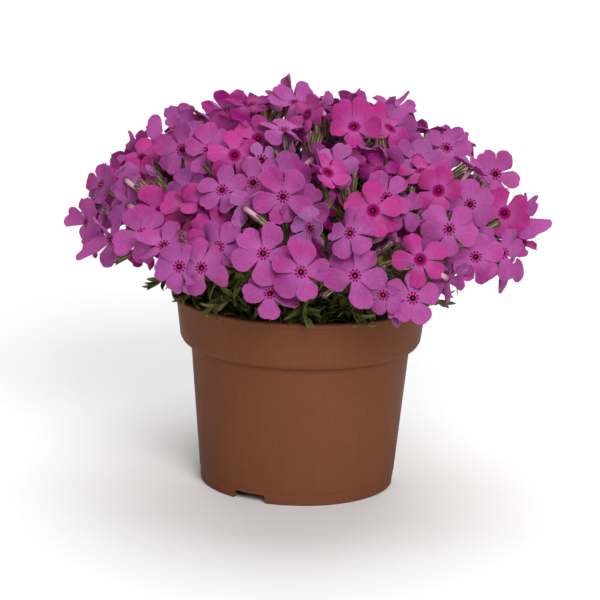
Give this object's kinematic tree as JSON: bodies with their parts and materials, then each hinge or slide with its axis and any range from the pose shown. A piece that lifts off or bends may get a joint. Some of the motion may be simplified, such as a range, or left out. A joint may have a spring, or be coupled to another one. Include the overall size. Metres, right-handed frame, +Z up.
{
  "type": "potted creeping phlox",
  "caption": "Dome of pink five-petalled creeping phlox blooms on leafy stems, in soil, in a round terracotta-brown plastic nursery pot.",
  "frame": {"origin": "on the floor under the middle of the pot's foot", "axes": "+Z up, -Y towards the side that the picture shows, +X to its right"},
  "size_m": [0.2146, 0.217, 0.1847],
  "materials": {
    "pot": "satin moulded terracotta-brown plastic",
    "soil": "rough dark peat",
    "leaf": "soft satin leaf green",
    "petal": "velvety magenta-pink petal"
  },
  "bodies": {
    "root": {"pot": "pot", "soil": "soil", "leafy_stem_01": "leaf", "leafy_stem_02": "leaf", "leafy_stem_03": "leaf", "leafy_stem_04": "leaf", "leafy_stem_05": "leaf", "leafy_stem_06": "leaf", "leafy_stem_07": "leaf", "leafy_stem_08": "leaf", "leafy_stem_09": "leaf", "leafy_stem_10": "leaf", "leafy_stem_11": "leaf", "leafy_stem_12": "leaf", "leafy_stem_13": "leaf", "leafy_stem_14": "leaf", "leafy_stem_15": "leaf", "leafy_stem_16": "leaf", "leafy_stem_17": "leaf", "leafy_stem_18": "leaf", "leafy_stem_19": "leaf", "leafy_stem_20": "leaf", "leafy_stem_21": "leaf", "leafy_stem_22": "leaf", "leafy_stem_23": "leaf", "leafy_stem_24": "leaf", "leafy_stem_25": "leaf", "leafy_stem_26": "leaf", "leafy_stem_27": "leaf", "flower_head_01": "petal", "flower_head_02": "petal", "flower_head_03": "petal", "flower_head_04": "petal", "flower_head_05": "petal", "flower_head_06": "petal", "flower_head_07": "petal", "flower_head_08": "petal", "flower_head_09": "petal", "flower_head_10": "petal", "flower_head_11": "petal", "flower_head_12": "petal", "flower_head_13": "petal", "flower_head_14": "petal", "flower_head_15": "petal", "flower_head_16": "petal", "flower_head_17": "petal", "flower_head_18": "petal", "flower_head_19": "petal", "flower_head_20": "petal", "flower_head_21": "petal", "flower_head_22": "petal", "flower_head_23": "petal", "flower_head_24": "petal", "flower_head_25": "petal", "flower_head_26": "petal", "flower_head_27": "petal"}
  },
  "joints": []
}
